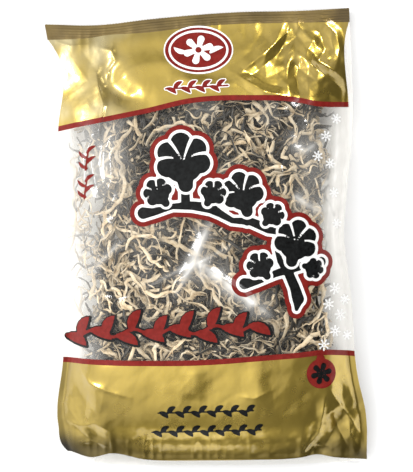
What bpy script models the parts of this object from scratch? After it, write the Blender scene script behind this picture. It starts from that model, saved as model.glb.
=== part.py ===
"""A clear pouch of dried, shredded wood ear mushroom, lying on its back with its printed face up.

The origin is the bottom centre of the bounding box: +X runs across the pouch, +Y towards its top
seal and +Z up. Two films are sealed together round the rim. The shreds between them are one packed
mass, and the shreds that lie loose on top of it are pieces of their own.
"""

import math
import random

import bmesh
import bpy
import numpy as np
from mathutils import Vector, noise

MM = 0.001

# The pouch's outline seen from above, in millimetres, as (along, across) knots.
LEFT_EDGE = [(-137, -82), (-131, -88.5), (-117, -92), (-76, -89), (64, -95.3), (104, -95.3),
             (132, -100.3)]
RIGHT_EDGE = [(-139, 100.3), (-109, 99.4), (-88, 94.7), (-37, 90.1), (5, 85.7), (30, 87.6), (62, 90.7),
              (142, 89.4)]
BOTTOM_EDGE = [(-82, -138), (-62, -141.2), (-30, -142.3), (0, -142.4), (30, -142.3), (65, -141.2),
               (100, -139.3)]
TOP_EDGE = [(-100.3, 132.2), (-68, 131.6), (-35, 135.3), (21, 139.8), (59, 140.6), (89.4, 142.4)]

# How the pouch swells: shares of the crown's height, over the share of the half width and along
# the length from the bottom seal (-1) to the top seal (1).
CROWN = 42.0
WIDTH_SWELL = [(0, 1), (0.35, 0.96), (0.6, 0.82), (0.8, 0.53), (0.92, 0.14), (0.96, 0), (1, 0)]
LENGTH_SWELL = [(-1, 0), (-0.95, 0), (-0.88, 0.36), (-0.72, 0.76), (-0.45, 0.97), (-0.1, 1),
                (0.3, 0.9), (0.55, 0.66), (0.75, 0.36), (0.93, 0.03), (1, 0)]
# The height of the seams over the surface that the pouch lies on, along its length.
SEAM_HEIGHT = [(-1, 5), (-0.6, 8.5), (0, 9.5), (0.6, 7.5), (1, 3.5)]
# The back lies flat inside these shares of the half width and the half length.
FLAT_WIDTH = 0.62
FLAT_LENGTH = 0.8

FILM_THICKNESS = 0.3
FILM_GAP = 0.4
FILM_COLUMNS = 18
FILM_ROWS = 24
# How strongly the rows of a sheet's mesh crowd towards its ends: 0 evenly, 1 as on a half circle.
ROW_CROWDING = 0.9
SLOPE_STEP = 0.5
SHARP_ANGLE = math.radians(40)

# The packed mass: how much of the pouch it fills, and the layer above it left for loose shreds.
MASS_HALF_WIDTH = 0.8
MASS_BOTTOM = -0.88
MASS_TOP = 0.66
MASS_LUMP = 1.0
MASS_LUMP_SIZE = 16.0
MASS_RIM = 1.5
# The greater this power, the closer to its rim the mass keeps its full thickness.
MASS_FULLNESS = 6
MASS_COLUMNS = 14
MASS_ROWS = 20
LOOSE_LAYER = 5.2
FILM_CLEARANCE = 1.5

SHRED_COUNT = 44
SHRED_STATIONS = 13
SHRED_WIDTH = (2.2, 3.4)
SHRED_THICKNESS = 0.7
SHRED_LENGTH = (26.0, 62.0)
SHRED_BEND = 0.045
SHRED_SPACING = 4.6
SHRED_DEPTH = 2.3
SHRED_WAVE = 0.7
# The share of its width that a shred keeps at its tips.
SHRED_TIP = 0.45
SHRED_ROLL = math.radians(22)
# The window in which the loose shreds are seen, as shares of the half width and the half length.
WINDOW_WIDTH = 0.84
WINDOW_BOTTOM = -0.62
WINDOW_TOP = 0.52
SEED = 11


def curve_through(knots):
    """A smooth curve through (position, value) knots in rising order, as a function of position."""
    at, value = np.array(knots, float).T
    slope = np.gradient(value, at)

    def read(t):
        t = min(max(t, at[0]), at[-1])
        i = min(max(int(np.searchsorted(at, t)), 1), len(at) - 1)
        step = at[i] - at[i - 1]
        w = (t - at[i - 1]) / step
        start = (1 + 2 * w) * (1 - w) ** 2 * value[i - 1] + w * (1 - w) ** 2 * step * slope[i - 1]
        end = w * w * (3 - 2 * w) * value[i] - w * w * (1 - w) * step * slope[i]
        return float(start + end)

    return read


left_edge = curve_through(LEFT_EDGE)
right_edge = curve_through(RIGHT_EDGE)
bottom_edge = curve_through(BOTTOM_EDGE)
top_edge = curve_through(TOP_EDGE)
width_swell = curve_through(WIDTH_SWELL)
length_swell = curve_through(LENGTH_SWELL)
seam_height = curve_through(SEAM_HEIGHT)


def on_pouch(u, v):
    """The point (x, y) at share u from the left edge (-1) to the right (1) and v from bottom to top."""
    x = 0.0
    for _ in range(6):
        y = bottom_edge(x) + (v + 1) / 2 * (top_edge(x) - bottom_edge(x))
        x = left_edge(y) + (u + 1) / 2 * (right_edge(y) - left_edge(y))
    return x, y


def shares(x, y):
    """The shares (u, v) of a point, the reverse of on_pouch."""
    u = 2 * (x - left_edge(y)) / (right_edge(y) - left_edge(y)) - 1
    v = 2 * (y - bottom_edge(x)) / (top_edge(x) - bottom_edge(x)) - 1
    return u, v


def front_height(u, v):
    """The height of the front film's underside."""
    swell = max(width_swell(abs(u)), 0) * max(length_swell(v), 0)
    return seam_height(v) + FILM_THICKNESS + FILM_GAP + (CROWN - seam_height(v)) * swell


def back_height(u, v):
    """The height of the back film's underside, which is flat where the pouch rests."""
    across = (abs(u) - FLAT_WIDTH) / (1 - FLAT_WIDTH)
    along = (abs(v) - FLAT_LENGTH) / (1 - FLAT_LENGTH)
    rise = max(across, along, 0)
    return seam_height(v) * rise * rise * (3 - 2 * rise)


def on_front(x, y):
    """A point on the front film's underside and the film's normal there."""
    height = front_height(*shares(x, y))
    rise_x = (front_height(*shares(x + SLOPE_STEP, y)) - height) / SLOPE_STEP
    rise_y = (front_height(*shares(x, y + SLOPE_STEP)) - height) / SLOPE_STEP
    return Vector((x, y, height)), Vector((-rise_x, -rise_y, 1)).normalized()


def material(name, color, roughness, alpha=1.0):
    made = bpy.data.materials.new(name)
    made.use_nodes = True
    shader = made.node_tree.nodes["Principled BSDF"]
    shader.inputs["Base Color"].default_value = (*color, 1)
    shader.inputs["Roughness"].default_value = roughness
    shader.inputs["Metallic"].default_value = 0
    shader.inputs["Alpha"].default_value = alpha
    made.diffuse_color = (*color, alpha)
    return made


def add_object(name, bm, finish):
    """The mesh as an object in metres, its faces turned outwards."""
    bmesh.ops.recalc_face_normals(bm, faces=bm.faces)
    bmesh.ops.scale(bm, vec=(MM, MM, MM), verts=bm.verts)
    mesh = bpy.data.meshes.new(name)
    bm.to_mesh(mesh)
    bm.free()
    mesh.shade_smooth()
    mesh.set_sharp_from_angle(angle=SHARP_ANGLE)
    mesh.materials.append(finish)
    made = bpy.data.objects.new(name, mesh)
    bpy.context.scene.collection.objects.link(made)
    return made


def closed_sheet(name, columns, rows, low, high, finish):
    """A closed solid between two surfaces, each a function of shares across and along."""
    bm = bmesh.new()
    across = [math.sin(math.pi * (i / columns - 0.5)) for i in range(columns + 1)]
    arc = ROW_CROWDING * math.pi
    along = [math.sin(arc * (j / rows - 0.5)) / math.sin(arc / 2) for j in range(rows + 1)]
    under = [[bm.verts.new(low(u, v)) for u in across] for v in along]
    over = [[bm.verts.new(high(u, v)) for u in across] for v in along]
    for j in range(rows):
        for i in range(columns):
            for layer in (under, over):
                bm.faces.new((layer[j][i], layer[j][i + 1], layer[j + 1][i + 1], layer[j + 1][i]))
    rim = [(0, i) for i in range(columns)] + [(j, columns) for j in range(rows)]
    rim += [(rows, i) for i in range(columns, 0, -1)] + [(j, 0) for j in range(rows, 0, -1)]
    for (j, i), (next_j, next_i) in zip(rim, rim[1:] + rim[:1]):
        bm.faces.new((under[j][i], under[next_j][next_i], over[next_j][next_i], over[j][i]))
    return add_object(name, bm, finish)


def film(name, height, finish):
    """One film of the pouch, a thin closed sheet over the whole outline."""

    def low(u, v):
        return (*on_pouch(u, v), height(u, v))

    def high(u, v):
        return (*on_pouch(u, v), height(u, v) + FILM_THICKNESS)

    return closed_sheet(name, FILM_COLUMNS, FILM_ROWS, low, high, finish)


def packed_shreds(finish):
    """The packed mass between the films, lumpy on top and rounded off at its rim."""

    def surface(a, b, side):
        u = MASS_HALF_WIDTH * a
        v = MASS_BOTTOM + (b + 1) / 2 * (MASS_TOP - MASS_BOTTOM)
        x, y = on_pouch(u, v)
        floor = back_height(u, v) + FILM_THICKNESS + FILM_CLEARANCE
        lump = MASS_LUMP * noise.noise(Vector((x, y, 0)) / MASS_LUMP_SIZE)
        ceiling = front_height(u, v) - LOOSE_LAYER - MASS_LUMP + lump
        middle = (floor + ceiling) / 2
        fullness = math.sqrt(1 - max(abs(a), abs(b)) ** MASS_FULLNESS)
        return x, y, middle + side * (MASS_RIM / 2 + fullness * ((ceiling - floor) / 2 - MASS_RIM / 2))

    def low(a, b):
        return surface(a, b, -1)

    def high(a, b):
        return surface(a, b, 1)

    return closed_sheet("packed_shreds", MASS_COLUMNS, MASS_ROWS, low, high, finish)


def shred_route(rng):
    """(point, normal) pairs down the middle of one loose shred, or None where it leaves the window."""
    u = rng.uniform(-WINDOW_WIDTH, WINDOW_WIDTH)
    v = rng.uniform(WINDOW_BOTTOM, WINDOW_TOP)
    x, y = on_pouch(u, v)
    heading = rng.uniform(0, 2 * math.pi)
    bend = rng.uniform(-SHRED_BEND, SHRED_BEND)
    change = rng.uniform(-SHRED_BEND, SHRED_BEND)
    step = rng.uniform(*SHRED_LENGTH) / (SHRED_STATIONS - 1)
    phase = rng.uniform(0, 2 * math.pi)
    route = []
    for k in range(SHRED_STATIONS):
        u, v = shares(x, y)
        if abs(u) > WINDOW_WIDTH or not WINDOW_BOTTOM < v < WINDOW_TOP:
            return None
        point, normal = on_front(x, y)
        depth = SHRED_DEPTH + SHRED_WAVE * math.sin(phase + k)
        route.append((point - normal * depth, normal))
        along = k / (SHRED_STATIONS - 1)
        heading += (bend + change * along) * step
        x += step * math.cos(heading)
        y += step * math.sin(heading)
    return route


def shred(name, route, width, roll, finish):
    """A ribbon along the route, tilted by roll and narrowing at both ends."""
    bm = bmesh.new()
    rings = []
    last = len(route) - 1
    for k, (point, normal) in enumerate(route):
        along = (route[min(k + 1, last)][0] - route[max(k - 1, 0)][0]).normalized()
        flat = along.cross(normal).normalized()
        middle = math.sin(math.pi * k / last)
        side = flat * math.cos(roll * middle) + flat.cross(along) * math.sin(roll * middle)
        up = side.cross(along)
        taper = SHRED_TIP + (1 - SHRED_TIP) * math.sqrt(max(middle, 0))
        half = side * width / 2 * taper
        thick = up * SHRED_THICKNESS / 2
        corners = ((-1, -1), (1, -1), (1, 1), (-1, 1))
        rings.append([bm.verts.new(point + a * half + b * thick) for a, b in corners])
    for near, far in zip(rings, rings[1:]):
        for i in range(4):
            bm.faces.new((near[i], near[(i + 1) % 4], far[(i + 1) % 4], far[i]))
    bm.faces.new(rings[0])
    bm.faces.new(rings[-1])
    return add_object(name, bm, finish)


def loose_shreds(pale, dark):
    """The loose shreds on top of the packed mass, each clear of the others."""
    rng = random.Random(SEED)
    taken = []
    while len(taken) < SHRED_COUNT:
        route = shred_route(rng)
        width = rng.uniform(*SHRED_WIDTH)
        roll = rng.uniform(-SHRED_ROLL, SHRED_ROLL)
        if route is None:
            continue
        if any((p - q).length < SHRED_SPACING for other in taken for p, _ in route for q, _ in other):
            continue
        taken.append(route)
        finish = pale if len(taken) % 2 else dark
        shred(f"shred_{len(taken):02d}", route, width, roll, finish)


def main():
    for old in list(bpy.data.objects):
        bpy.data.objects.remove(old)
    clear = material("clear film", (0.93, 0.93, 0.90), 0.12, alpha=0.35)
    printed = material("printed film", (0.62, 0.46, 0.16), 0.25)
    pale = material("pale shred", (0.62, 0.50, 0.34), 0.7)
    dark = material("dark shred", (0.10, 0.085, 0.065), 0.6)
    mixed = material("packed shreds", (0.22, 0.18, 0.13), 0.75)
    film("back_film", back_height, clear)
    film("front_film", front_height, printed)
    packed_shreds(mixed)
    loose_shreds(pale, dark)


main()
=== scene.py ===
"""The looks of a clear pouch of dried, shredded wood ear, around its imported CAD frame.

Lengths are millimetres in the part's frame until a mesh is made: +X runs across the pouch, +Y
towards its top seal and +Z up, out of the printed face. (x, y) are such lengths, and (u, v) are the
shares of the way across and along the pouch, from -1 to 1.
"""

import math
import random

import bpy
import numpy as np
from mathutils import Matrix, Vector


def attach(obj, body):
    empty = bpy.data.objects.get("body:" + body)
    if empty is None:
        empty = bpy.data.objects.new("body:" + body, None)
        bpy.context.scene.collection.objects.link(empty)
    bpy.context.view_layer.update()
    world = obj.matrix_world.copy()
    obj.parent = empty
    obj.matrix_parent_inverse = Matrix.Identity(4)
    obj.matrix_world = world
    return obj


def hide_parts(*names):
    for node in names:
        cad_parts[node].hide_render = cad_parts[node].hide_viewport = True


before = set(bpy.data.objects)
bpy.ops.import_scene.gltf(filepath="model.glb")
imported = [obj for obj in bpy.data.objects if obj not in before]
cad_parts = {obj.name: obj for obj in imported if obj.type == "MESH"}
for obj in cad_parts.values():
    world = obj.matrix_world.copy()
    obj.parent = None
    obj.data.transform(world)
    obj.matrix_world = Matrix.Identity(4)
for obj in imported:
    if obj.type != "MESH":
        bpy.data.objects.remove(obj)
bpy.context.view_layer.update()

MM = 0.001


def curve_through(knots):
    """A smooth curve through (position, value) knots in rising order, as a function of an array."""
    at, value = np.array(knots, float).T
    slope = np.gradient(value, at)

    def read(t):
        t = np.clip(t, at[0], at[-1])
        i = np.clip(np.searchsorted(at, t), 1, len(at) - 1)
        step = at[i] - at[i - 1]
        w = (t - at[i - 1]) / step
        start = (1 + 2 * w) * (1 - w) ** 2 * value[i - 1] + w * (1 - w) ** 2 * step * slope[i - 1]
        end = w * w * (3 - 2 * w) * value[i] - w * w * (1 - w) * step * slope[i]
        return start + end

    return read


# ---------- the pouch's shape, as in CAD
# The edges: x over y at the sides, y over x at the ends.
left_edge = curve_through([
    (-137, -82), (-131, -88.5), (-117, -92), (-76, -89), (64, -95.3), (104, -95.3), (132, -100.3),
])
right_edge = curve_through([
    (-139, 100.3), (-109, 99.4), (-88, 94.7), (-37, 90.1), (5, 85.7), (30, 87.6), (62, 90.7),
    (142, 89.4),
])
bottom_edge = curve_through([
    (-82, -138), (-62, -141.2), (-30, -142.3), (0, -142.4), (30, -142.3), (65, -141.2), (100, -139.3),
])
top_edge = curve_through([
    (-100.3, 132.2), (-68, 131.6), (-35, 135.3), (21, 139.8), (59, 140.6), (89.4, 142.4),
])
# The front film's height: its crown, its swell over |u| and over v, and the side seams' height over v.
CROWN = 42.0
width_swell = curve_through([
    (0, 1), (0.35, 0.96), (0.6, 0.82), (0.8, 0.53), (0.92, 0.14), (0.96, 0), (1, 0),
])
length_swell = curve_through([
    (-1, 0), (-0.95, 0), (-0.88, 0.36), (-0.72, 0.76), (-0.45, 0.97), (-0.1, 1), (0.3, 0.9),
    (0.55, 0.66), (0.75, 0.36), (0.93, 0.03), (1, 0),
])
seam_height = curve_through([(-1, 5), (-0.6, 8.5), (0, 9.5), (0.6, 7.5), (1, 3.5)])
FLAT_WIDTH = 0.62      # the share of the back that rests on the surface, across and along
FLAT_LENGTH = 0.8
SEAL_GAP = 0.35        # between the two films where they are sealed
SOFTEN = 0.07          # the share of the length over which the swell is smoothed
FILM_ROOM = 0.3        # the least room between the two films
SHRED_ROOM = 1.3       # between the front film and the middle of a shred

# ---------- where the print lies, y over x
RED_LINE = 3.3
top_line = curve_through([
    (-96, 64.2), (-62, 69.8), (-35, 75.2), (-10, 81), (27, 83), (59, 81.4), (66, 80), (90, 80.2),
])
bottom_line = curve_through([
    (-92, -74.6), (-46, -75.2), (9, -74), (29, -72.4), (57, -70.4), (70, -69.2), (93, -71),
])
seal_line = curve_through([
    (-98, 122.2), (-71, 123.4), (-63, 124.8), (-35, 126.7), (-10, 129.8), (16, 131.8), (50, 132.6),
    (90, 133.4),
])
print_end = curve_through([
    (-84, -133.5), (-71, -137.3), (-59, -134.6), (-38, -138.4), (0, -139.1), (27, -138.7), (60, -137),
    (68, -135.4), (80, -137.2), (101, -138.6),
])


def shares(x, y):
    """The shares (u, v) of points: across from -1 at the left edge, and along from the bottom seal."""
    u = 2 * (x - left_edge(y)) / (right_edge(y) - left_edge(y)) - 1
    v = 2 * (y - bottom_edge(x)) / (top_edge(x) - bottom_edge(x)) - 1
    return u, v


def swell(u, v):
    """How far the front film has risen from its seams, from 0 to 1."""
    return np.maximum(width_swell(abs(u)), 0) * np.maximum(length_swell(v), 0)


def ease(low, high, t):
    """0 before low and 1 after high, with a smooth rise between them; low may be the greater."""
    w = np.clip((t - low) / (high - low), 0, 1)
    return w * w * (3 - 2 * w)


# ---------- noise and creases
FACET_WARP = 0.28      # how far the lines between facets wander, as a share of a facet
CREASE_FADE = 0.25     # the share of a crease's length over which it reaches its full height
CREASE_END = 0.25      # its height at its ends, as a share of its full height


def lattice_value(i, j, seed):
    """A fixed value from -1 to 1 for each lattice point."""
    mixed = np.sin(i * 127.1 + j * 311.7 + seed * 74.7) * 43758.5453
    return 2 * (mixed - np.floor(mixed)) - 1


def between_corners(corner, i, j, a, b):
    """The value at shares a and b between the corners (i, j) and (i + 1, j + 1) of a lattice."""
    lower = corner(i, j) * (1 - a) + corner(i + 1, j) * a
    upper = corner(i, j + 1) * (1 - a) + corner(i + 1, j + 1) * a
    return lower * (1 - b) + upper * b


def lumps(x, y, size, seed):
    """Smooth lumps about size across, from -1 to 1."""
    i, j = np.floor(x / size), np.floor(y / size)
    a, b = x / size - i, y / size - j
    a, b = a * a * (3 - 2 * a), b * b * (3 - 2 * b)
    return between_corners(lambda i, j: lattice_value(i, j, seed), i, j, a, b)


def facets(x, y, size, seed):
    """Flat facets about size across that meet in sharp creases, as in crumpled film, from -1 to 1."""
    x = x / size + FACET_WARP * lumps(x, y, 1.7 * size, seed + 1)
    y = y / size + FACET_WARP * lumps(x, y, 1.7 * size, seed + 2)
    i, j = np.floor(x), np.floor(y)
    a, b = x - i, y - j
    low, high = lattice_value(i, j, seed), lattice_value(i + 1, j + 1, seed)
    right, up = lattice_value(i + 1, j, seed), lattice_value(i, j + 1, seed)
    below = low * (1 - a) + right * (a - b) + high * b
    above = low * (1 - b) + up * (b - a) + high * a
    return np.where(a > b, below, above)


def ridges(x, y, size, seed):
    """Sharp wandering folds about size apart, from -1 to 1."""
    return 1 - 2 * abs(lumps(x, y, size, seed))


def spot(x, y, cx, cy, across, along):
    """A soft oval spot round (cx, cy), from 0 to 1."""
    return np.exp(-(((x - cx) / across) ** 2 + ((y - cy) / along) ** 2))


def nearest_on_segment(x, y, start, end):
    """How far along a segment the point nearest to (x, y) is, from 0 to 1, and its distance."""
    ax, ay = start
    bx, by = end
    w = np.clip(((x - ax) * (bx - ax) + (y - ay) * (by - ay)) / ((bx - ax) ** 2 + (by - ay) ** 2), 0, 1)
    return w, np.hypot(x - ax - w * (bx - ax), y - ay - w * (by - ay))


def crease(x, y, height, width, sharpness, points):
    """A ridge, or with a negative height a trough, along a line that gets lower towards its ends."""
    points = np.array(points, float)
    lengths = np.linalg.norm(np.diff(points, axis=0), axis=1)
    total = lengths.sum()
    nearest = np.full(np.shape(x), np.inf)
    along = np.zeros(np.shape(x))
    passed = 0.0
    for start, end, length in zip(points[:-1], points[1:], lengths):
        w, away = nearest_on_segment(x, y, start, end)
        closer = away < nearest
        nearest = np.where(closer, away, nearest)
        along = np.where(closer, (passed + w * length) / total, along)
        passed += length
    fade = ease(0, CREASE_FADE, along) * ease(0, CREASE_FADE, 1 - along)
    if sharpness:
        profile = np.exp(-((nearest / width) ** sharpness))
    else:
        profile = np.maximum(1 - nearest / width, 0)
    return height * (CREASE_END + (1 - CREASE_END) * fade) * profile


# (height, width, sharpness, points): sharpness 0 is a tent, 1 a hard crease and 2 a soft swell.
CREASES = [
    # the top panel: an S-shaped ridge on the left, the trough beside it and the crumples on the right
    (3, 3, 1, [(-66, 117), (-58.5, 115), (-56, 108.5), (-60.5, 102), (-61, 94)]),
    (2.6, 2.4, 1, [(-67.5, 101), (-66, 92), (-62.5, 79.5), (-65, 65), (-66, 54)]),
    (-4.4, 6.5, 2, [(-57, 113), (-60, 102), (-58, 93), (-50, 86), (-37, 82)]),
    (1.6, 6, 2, [(-58.7, 95.6), (-43, 105), (-28, 107), (-14, 104)]),
    (1.2, 1.6, 1, [(-96, 122), (-84, 118), (-70, 119)]),
    (2.6, 6, 0, [(18, 98), (36.5, 113.5), (49, 125), (58, 133)]),
    (-2.2, 5, 0, [(51, 139), (52, 131), (49, 121), (44, 110)]),
    (2.8, 6.5, 0, [(54, 116), (67, 104), (78.3, 95.6), (91, 86)]),
    (2.2, 4.6, 0, [(58, 133), (74.6, 132), (80.8, 126), (83.2, 116), (79.5, 100)]),
    (-2.4, 6, 0, [(59, 112), (56, 98), (57.8, 84)]),
    (1.8, 5, 0, [(16, 101), (36, 88.2), (52, 85.7)]),
    (2, 4.6, 0, [(54, 135), (66, 121), (60, 108)]),
    (-1.8, 5, 0, [(70, 131), (74, 116), (70, 108), (88, 99)]),
    (1.6, 3.6, 2, [(-20, 98), (4, 92), (24, 94)]),
    # the bottom panel: a fold and dents on the left, folds that fan out to the right corner
    (1.6, 2, 1, [(-76, -82), (-71, -90), (-60, -94), (-45.5, -98)]),
    (1.5, 2.2, 1, [(-88, -113), (-78, -117), (-68, -115), (-59, -120)]),
    (-1.6, 2.6, 1, [(-83, -116), (-74, -124), (-63, -131)]),
    (1.4, 1.8, 1, [(-80, -128), (-70, -127), (-60, -130)]),
    (1.6, 7, 2, [(-7, -78), (-6, -88), (-9, -100)]),
    (0.9, 6, 2, [(30, -78), (33, -92), (28, -106)]),
    (2.6, 2.8, 1, [(73, -98), (70, -121), (61.5, -132), (60, -137)]),
    (-2.8, 3.2, 1, [(77, -106), (83, -120), (89, -132)]),
    (2.6, 2.6, 1, [(76, -94), (86, -108), (96, -122), (99, -134)]),
    (2, 2, 1, [(88, -112), (90, -124), (97, -133)]),
    (1, 2, 1, [(20, -97), (30, -98), (41, -93)]),
    (1.2, 2.4, 1, [(66, -128), (76, -130), (84, -136)]),
    # the window: stars of glare where the film is pulled tight, and long streaks at the right
    (2.4, 4.8, 0, [(3, 12), (-3, -4), (-9, -18), (-20, -40)]),
    (2.4, 4.8, 0, [(-12, -10), (4, -22), (20, -33), (42, -50)]),
    (1.2, 2.6, 0, [(-30, -36), (-10, -22), (6, -14)]),
    (1.8, 2.4, 1, [(56, 24), (66, 18), (74, 7)]),
    (1.6, 2.2, 1, [(55, 54), (63, 50), (72, 54)]),
    (1.6, 2.2, 1, [(58, 69), (66, 66), (76, 71)]),
    (1.6, 3.4, 0, [(44, 44), (50, 30), (48, 12)]),
    (1.4, 3, 0, [(-52, 2), (-58, -12), (-66, -24)]),
    (1.8, 4, 0, [(-50, 68), (-58, 50), (-57, 34), (-64, 18)]),
    (-1.5, 4, 0, [(-66, 60), (-70, 44), (-66, 28)]),
    (1.4, 2.6, 1, [(-62, 12), (-50, 0), (-44, -16)]),
    (1.2, 2.2, 1, [(-40, -34), (-52, -40), (-66, -38)]),
    (1.6, 2.2, 1, [(80, 70), (79, 40), (75, 12), (78, -12)]),
    (1.2, 1.8, 1, [(86, 62), (84.5, 30), (81, 5), (84, -30)]),
    (1, 1.6, 1, [(-86, 60), (-84, 30), (-82, 0), (-80, -40)]),
    (1, 1.8, 1, [(-78, 56), (-74, 40), (-77, 16)]),
]

# (whiteness, width, points) of the creases of the clear film painted white: painted highlights where the
# creases catch glare
GLARE_CREASES = [
    (0.85, 2.2, [(4, 10), (-3, -4), (-7, -16), (-17, -34)]),
    (0.95, 3.2, [(-6, -14), (6, -23), (20, -34), (38, -47)]),
    (0.40, 1.2, [(-34, -30), (-16, -20), (0, -14), (14, -6)]),
    (0.35, 1.0, [(-6, 6), (-5, -10), (-2, -28)]),
    (0.45, 1.6, [(52, 26), (62, 19), (72, 14)]),
    (0.40, 1.4, [(52, 56), (61, 52), (68, 57)]),
    (0.45, 1.5, [(82, 74), (80, 40), (78, 12), (81, -20)]),
    (0.40, 1.2, [(87, 60), (85.5, 30), (83, 0), (86, -36)]),
    (0.35, 1.2, [(74, 34), (76, 16), (73, -8)]),
    (0.40, 1.4, [(-50, -2), (-60, -12), (-70, -22)]),
]


def crumple(x, y, u, v):
    """How far the front film stands off its smooth swell."""
    top = ease(0, 16, y - top_line(x))
    bottom = ease(0, 16, bottom_line(x) - y)
    window = (1 - top) * (1 - bottom)
    right_end = ease(18, 52, x)
    left_end = ease(-52, -76, x)
    # the panels are rough at their ends and nearly smooth between them
    rough = top * (0.12 + 0.75 * right_end + 0.3 * left_end)
    rough += bottom * (0.12 + 0.55 * ease(52, 80, x) + 0.35 * left_end)
    rough += ease(-88, -104, y) * (0.45 * ease(54, 72, x) + 0.35 * ease(-56, -74, x))
    # facets that lean to the right, from large to small
    across = 0.8 * x + 0.6 * y
    along = 0.8 * y - 0.6 * x
    lift = rough * (2.6 * facets(across, along * 1.6, 20, 3) + 1.5 * facets(along, across * 1.5, 11, 7))
    lift += rough * (1.1 * facets(across * 1.3, along, 14, 61) + 0.35 * facets(x, y, 5, 17))
    lift += (top + bottom) * (0.45 * facets(x, y, 16, 21) + 0.8 * lumps(x, y, 24, 23))
    lift += (top + bottom) * (0.26 * facets(along, across, 8, 25) + 0.09 * facets(x, y, 4, 27))
    # pleats that run into the seals, and slack film over the fill, tighter at the star of glare
    pleats = ridges(x, 0.25 * y, 11, 71) + 0.5 * ridges(x, 0.3 * y, 5, 73)
    lift += pleats * (1.1 * ease(-0.80, -0.90, v) + 0.7 * ease(0.84, 0.93, v))
    calm = 1 - 0.75 * spot(x, y, 4, -20, 26, 22)
    loose = 0.8 * lumps(x, y, 17, 5) + 0.45 * facets(x, y, 12, 9) + 0.2 * facets(x, y, 5, 13)
    lift += window * calm * loose
    for height, width, sharpness, points in CREASES:
        lift += crease(x, y, height, width, sharpness, points)
    return lift


def front_height(x, y):
    """The height of the front film."""
    u, v = shares(x, y)
    filled = (swell(u, v - SOFTEN) + swell(u, v) + swell(u, v + SOFTEN)) / 3 * ease(1, 0.97, abs(v))
    smooth = seam_height(v) + SEAL_GAP + (CROWN - seam_height(v)) * filled
    free = np.minimum(1, 2.6 * filled**0.7)
    inner = ease(1.0, 0.93, abs(v)) * ease(1.0, 0.95, abs(u))
    return smooth + crumple(x, y, u, v) * (0.3 + 0.7 * free) * (0.25 + 0.75 * inner)


def sampled(function, reach, cell):
    """The same function, read from a grid over an (x, y, x, y) box, which is much quicker."""
    across = np.arange(reach[0] - cell, reach[2] + 2 * cell, cell)
    along = np.arange(reach[1] - cell, reach[3] + 2 * cell, cell)
    grid = function(*np.meshgrid(across, along))

    def read(x, y):
        a = np.clip((x - across[0]) / cell, 0, len(across) - 1.001)
        b = np.clip((y - along[0]) / cell, 0, len(along) - 1.001)
        i, j = a.astype(int), b.astype(int)
        return between_corners(lambda i, j: grid[j, i], i, j, a - i, b - j)

    return read


front_z = sampled(front_height, (-104, -146, 104, 146), 0.5)


def under_film_z(x, y):
    """The height that the middle of a shred may reach: just under the front film and its creases."""
    u, v = shares(x, y)
    smooth = seam_height(v) + (CROWN - seam_height(v)) * swell(u, v)
    return np.minimum(smooth, front_z(x, y)) - SHRED_ROOM


def back_z(x, y):
    """The height of the back film, which is flat where the pouch rests."""
    u, v = shares(x, y)
    across = (abs(u) - FLAT_WIDTH) / (1 - FLAT_WIDTH)
    along = (abs(v) - FLAT_LENGTH) / (1 - FLAT_LENGTH)
    rise = np.clip(np.maximum(across, along), 0, 1)
    ripple = np.maximum(0.5 * facets(x, y, 14, 31) + 0.3 * lumps(x, y, 8, 33), -0.2)
    height = seam_height(v) * rise * rise * (3 - 2 * rise) + ripple * ease(0, 0.4, rise)
    return np.minimum(height, front_z(x, y) - FILM_ROOM)


# ---------- tones of the films, over (x, y)
def painted_gold_shading(x, y):
    """Painted light and shade on the gold, as a share of its colour: darker at the bottom, under the top
    seal, at the lower left and in the crumpled right corners, brighter in the middle of the bottom panel.
    """
    # painted shade: darker near the bottom edge, under the top seal at the left, along the lower left edge
    # and a little over the pale upper left corner
    low = ease(17, 3, y - print_end(x))
    high = ease(9, 0, seal_line(x) - y) * ease(20, -40, x)
    side = ease(12, 0, x - left_edge(y)) * ease(-60, -90, y)
    pale = ease(-50, -76, x) * ease(66, 84, y)
    # painted shade in the crumpled top right corner, and below in the folded bottom right corner
    crumpled_top_right_shade = ease(22, 58, x) * ease(60, 84, y) * (0.6 + 0.4 * lumps(x, y, 9, 81))
    # painted light on the bottom panel: a pool of light in its middle and shade at its left
    lit = 0.20 * np.exp(-(((x - 8) / 42) ** 2)) - 0.24 * ease(-30, -76, x)
    lit *= ease(-60, -80, y)
    folded_bottom_right_shade = ease(58, 84, x) * ease(-86, -102, y) * (0.6 + 0.4 * lumps(x, y, 8, 87))
    return 1 - 0.50 * low - 0.35 * high - 0.25 * side - 0.42 * crumpled_top_right_shade - 0.30 * folded_bottom_right_shade - 0.10 * pale + lit


def gold_glare_paleness(x, y):
    """How far the gold is painted pale toward cream, in patches at the upper left: a painted highlight
    where glare falls.
    """
    corner = ease(-34, -66, x) * ease(60, 76, y)
    patches = 0.27 + 0.26 * lumps(x, y, 11, 83) + 0.14 * facets(x, y, 6, 85)
    return np.clip(corner * patches, 0, 0.6)


def film_haze_and_glare(x, y):
    """How white the clear film is: clear over the fill, hazy and painted with glare at its margins, and
    painted glare in spots and along its creases.
    """
    u, _ = shares(x, y)
    # partly haze where the two films meet at the margins, partly painted glare, strongest at the left
    margin = ease(0.78, 0.93, u) * 0.42 + ease(0.80, 0.95, -u) * 0.32
    # painted glare: white spots where the film reflects the lamps, and the white left margin
    painted_glare = 0.26 * spot(x, y, -64, 42, 14, 28) + 0.06 * spot(x, y, -70, -12, 10, 26)
    painted_glare += 0.16 * spot(x, y, 66, 40, 12, 30) + 0.14 * ease(-0.66, -0.78, u)
    patches = 0.05 * ease(0.15, 0.75, lumps(x, y, 19, 51))
    # painted highlights along the creases that catch glare
    for height, width, points in GLARE_CREASES:
        patches += crease(x, y, height, width, 1, points) * (0.75 + 0.5 * facets(x, y, 6, 53))
    return np.clip(0.005 + margin + painted_glare + patches, 0, 0.85)


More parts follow.
